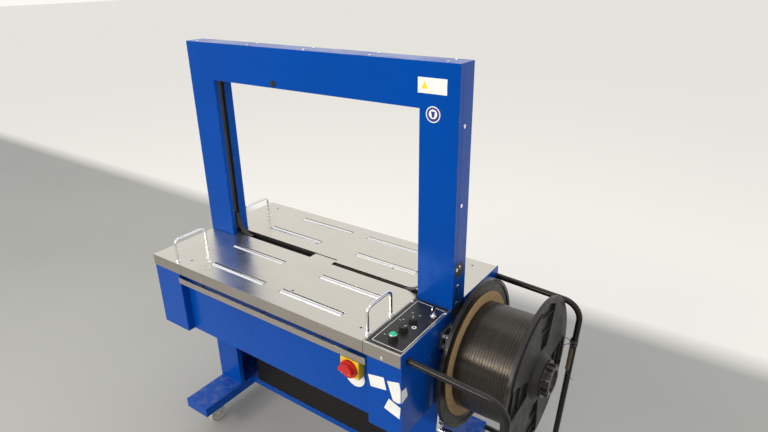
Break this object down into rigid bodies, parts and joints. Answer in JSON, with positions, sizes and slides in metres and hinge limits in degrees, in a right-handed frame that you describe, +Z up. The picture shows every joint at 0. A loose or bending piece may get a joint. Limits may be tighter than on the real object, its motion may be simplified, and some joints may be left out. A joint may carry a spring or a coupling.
{
  "type": "arch strapping machine",
  "caption": "Floor standing arch strapping machine: blue cabinet on casters, stainless roller table with lift-off plates, square strap arch, strap reel on an axle with tube guards.",
  "frame": {"origin": "on the floor at the centre of the machine's outer bounds in plan", "axes": "+Z up; -Y is the operator's side, where the start bar is; +X towards the strap reel, along the table's length"},
  "size_m": [1.403, 0.642, 1.5647],
  "materials": {
    "blue_paint": "gloss",
    "stainless": "brushed",
    "chrome": "polished",
    "black_paint": "satin",
    "cast_dark": "satin",
    "black_plastic": "matte",
    "reel_plastic": "satin",
    "label_white": "gloss",
    "yellow_plastic": "gloss",
    "red_plastic": "gloss",
    "green_plastic": "gloss",
    "board": "matte",
    "strap": "gloss",
    "caster_tread": "matte",
    "zinc": "satin"
  },
  "bodies": {
    "frame": {"left_stand": "blue_paint", "right_stand": "blue_paint", "lower_crossbeam": "blue_paint", "strap_pool_box": "black_paint", "body_floor": "blue_paint", "table_frame": "cast_dark", "left_end_cover": "blue_paint", "front_panel": "blue_paint", "right_cabinet": "blue_paint", "right_side_panel": "blue_paint", "rear_panel": "blue_paint", "arch_front_cover": "blue_paint", "arch_rear_cover": "blue_paint", "arch_strap_track": "black_plastic", "cover_screws": "chrome", "label_plates": "label_white", "console_box": "stainless", "console_face": "black_paint", "switch_housing": "yellow_plastic", "table_strap_track": "black_plastic", "sealing_head_frame": "cast_dark", "drive_motor": "cast_dark", "control_box": "black_plastic", "reel_bracket": "cast_dark", "reel_guard": "black_paint"},
    "front_table": {"front_plate": "stainless", "front_handles": "chrome"},
    "rear_table": {"rear_plate": "stainless", "rear_handles": "chrome"},
    "roller_front_outer_left": {"roller_front_outer_left": "chrome"},
    "roller_front_outer_right": {"roller_front_outer_right": "chrome"},
    "roller_front_inner_left": {"roller_front_inner_left": "chrome"},
    "roller_front_inner_right": {"roller_front_inner_right": "chrome"},
    "roller_rear_inner_left": {"roller_rear_inner_left": "chrome"},
    "roller_rear_inner_right": {"roller_rear_inner_right": "chrome"},
    "roller_rear_outer_left": {"roller_rear_outer_left": "chrome"},
    "roller_rear_outer_right": {"roller_rear_outer_right": "chrome"},
    "start_bar": {"start_bar": "stainless"},
    "start_button": {"start_button": "green_plastic"},
    "tension_knob": {"tension_knob": "black_plastic"},
    "timer_knob": {"timer_knob": "black_plastic"},
    "key_switch": {"key_switch": "chrome"},
    "switch_knob": {"switch_knob": "red_plastic"},
    "reel": {"reel_inner_flange": "reel_plastic", "cardboard_core": "board", "strap_coil": "strap", "reel_outer_flange": "reel_plastic"},
    "hub_nut": {"hub_nut": "black_plastic"},
    "brake_arm": {"brake_arm": "zinc"},
    "caster_fork_front_left": {"caster_fork_front_left": "zinc"},
    "caster_wheel_front_left": {"caster_wheel_front_left": "caster_tread"},
    "caster_fork_front_right": {"caster_fork_front_right": "zinc"},
    "caster_wheel_front_right": {"caster_wheel_front_right": "caster_tread"},
    "caster_fork_rear_left": {"caster_fork_rear_left": "zinc"},
    "caster_wheel_rear_left": {"caster_wheel_rear_left": "caster_tread"},
    "caster_fork_rear_right": {"caster_fork_rear_right": "zinc"},
    "caster_wheel_rear_right": {"caster_wheel_rear_right": "caster_tread"},
    "anvil_slide": {"anvil_slide": "stainless"},
    "feed_roller": {"feed_roller": "cast_dark"},
    "pinch_roller": {"pinch_roller": "stainless"}
  },
  "joints": [
    {"name": "front_table_lift", "type": "slide", "parent": "frame", "child": "front_table", "axis": [0, 0, 1], "range_m": [0, 0.2]},
    {"name": "rear_table_lift", "type": "slide", "parent": "frame", "child": "rear_table", "axis": [0, 0, 1], "range_m": [0, 0.2]},
    {"name": "roller_front_outer_left_spin", "type": "hinge", "parent": "front_table", "child": "roller_front_outer_left", "pos_m": [-0.32334, -0.227, 0.825], "axis": [1, 0, 0], "continuous": true},
    {"name": "roller_front_outer_right_spin", "type": "hinge", "parent": "front_table", "child": "roller_front_outer_right", "pos_m": [0.00866, -0.227, 0.825], "axis": [1, 0, 0], "continuous": true},
    {"name": "roller_front_inner_left_spin", "type": "hinge", "parent": "front_table", "child": "roller_front_inner_left", "pos_m": [-0.37134, -0.084, 0.825], "axis": [1, 0, 0], "continuous": true},
    {"name": "roller_front_inner_right_spin", "type": "hinge", "parent": "front_table", "child": "roller_front_inner_right", "pos_m": [0.05666, -0.084, 0.825], "axis": [1, 0, 0], "continuous": true},
    {"name": "roller_rear_inner_left_spin", "type": "hinge", "parent": "rear_table", "child": "roller_rear_inner_left", "pos_m": [-0.37134, 0.113, 0.825], "axis": [1, 0, 0], "continuous": true},
    {"name": "roller_rear_inner_right_spin", "type": "hinge", "parent": "rear_table", "child": "roller_rear_inner_right", "pos_m": [0.05666, 0.113, 0.825], "axis": [1, 0, 0], "continuous": true},
    {"name": "roller_rear_outer_left_spin", "type": "hinge", "parent": "rear_table", "child": "roller_rear_outer_left", "pos_m": [-0.32334, 0.245, 0.825], "axis": [1, 0, 0], "continuous": true},
    {"name": "roller_rear_outer_right_spin", "type": "hinge", "parent": "rear_table", "child": "roller_rear_outer_right", "pos_m": [0.00866, 0.245, 0.825], "axis": [1, 0, 0], "continuous": true},
    {"name": "start_bar_push", "type": "slide", "parent": "frame", "child": "start_bar", "axis": [0, 1, 0], "range_m": [0, 0.006], "stiffness_N_per_m": 900, "springref_m": -0.004},
    {"name": "start_button_press", "type": "slide", "parent": "frame", "child": "start_button", "axis": [0, 0, -1], "range_m": [0, 0.004], "stiffness_N_per_m": 600, "springref_m": -0.002},
    {"name": "tension_knob_turn", "type": "hinge", "parent": "frame", "child": "tension_knob", "pos_m": [0.33566, -0.198, 0.835], "axis": [0, 0, 1], "range_deg": [-140, 140]},
    {"name": "timer_knob_turn", "type": "hinge", "parent": "frame", "child": "timer_knob", "pos_m": [0.33466, -0.145, 0.835], "axis": [0, 0, 1], "range_deg": [-140, 140]},
    {"name": "key_turn", "type": "hinge", "parent": "frame", "child": "key_switch", "pos_m": [0.37466, -0.097, 0.835], "axis": [0, 0, 1], "range_deg": [0, 90]},
    {"name": "main_switch_turn", "type": "hinge", "parent": "frame", "child": "switch_knob", "pos_m": [0.21216, -0.297, 0.716], "axis": [0, 1, 0], "range_deg": [0, 90]},
    {"name": "reel_spin", "type": "hinge", "parent": "frame", "child": "reel", "pos_m": [0.54866, 0.065, 0.645], "axis": [1, 0, 0], "continuous": true},
    {"name": "hub_nut_turn", "type": "hinge", "parent": "frame", "child": "hub_nut", "pos_m": [0.68666, 0.065, 0.645], "axis": [1, 0, 0], "continuous": true},
    {"name": "brake_arm_swing", "type": "hinge", "parent": "frame", "child": "brake_arm", "pos_m": [0.41866, -0.07, 0.765], "axis": [1, 0, 0], "range_deg": [-20, 0]},
    {"name": "caster_front_left_swivel", "type": "hinge", "parent": "frame", "child": "caster_fork_front_left", "pos_m": [-0.63784, -0.207, 0.09], "axis": [0, 0, 1], "continuous": true},
    {"name": "caster_front_left_roll", "type": "hinge", "parent": "caster_fork_front_left", "child": "caster_wheel_front_left", "pos_m": [-0.63784, -0.185, 0.0375], "axis": [1, 0, 0], "continuous": true},
    {"name": "caster_front_right_swivel", "type": "hinge", "parent": "frame", "child": "caster_fork_front_right", "pos_m": [0.33516, -0.207, 0.09], "axis": [0, 0, 1], "continuous": true},
    {"name": "caster_front_right_roll", "type": "hinge", "parent": "caster_fork_front_right", "child": "caster_wheel_front_right", "pos_m": [0.33516, -0.185, 0.0375], "axis": [1, 0, 0], "continuous": true},
    {"name": "caster_rear_left_swivel", "type": "hinge", "parent": "frame", "child": "caster_fork_rear_left", "pos_m": [-0.63784, 0.237, 0.09], "axis": [0, 0, 1], "continuous": true},
    {"name": "caster_rear_left_roll", "type": "hinge", "parent": "caster_fork_rear_left", "child": "caster_wheel_rear_left", "pos_m": [-0.63784, 0.259, 0.0375], "axis": [1, 0, 0], "continuous": true},
    {"name": "caster_rear_right_swivel", "type": "hinge", "parent": "frame", "child": "caster_fork_rear_right", "pos_m": [0.33516, 0.237, 0.09], "axis": [0, 0, 1], "continuous": true},
    {"name": "caster_rear_right_roll", "type": "hinge", "parent": "caster_fork_rear_right", "child": "caster_wheel_rear_right", "pos_m": [0.33516, 0.259, 0.0375], "axis": [1, 0, 0], "continuous": true},
    {"name": "anvil_slide_move", "type": "slide", "parent": "frame", "child": "anvil_slide", "axis": [0, 1, 0], "range_m": [0, 0.02]},
    {"name": "feed_roller_spin", "type": "hinge", "parent": "frame", "child": "feed_roller", "pos_m": [-0.15134, 0.015, 0.735], "axis": [0, 1, 0], "continuous": true},
    {"name": "pinch_roller_spin", "type": "hinge", "parent": "frame", "child": "pinch_roller", "pos_m": [-0.15134, 0.015, 0.6914], "axis": [0, 1, 0], "continuous": true}
  ],
  "couplings": [
    {"joint": "pinch_roller_spin", "follows": "feed_roller_spin", "ratio": -1.3889}
  ]
}
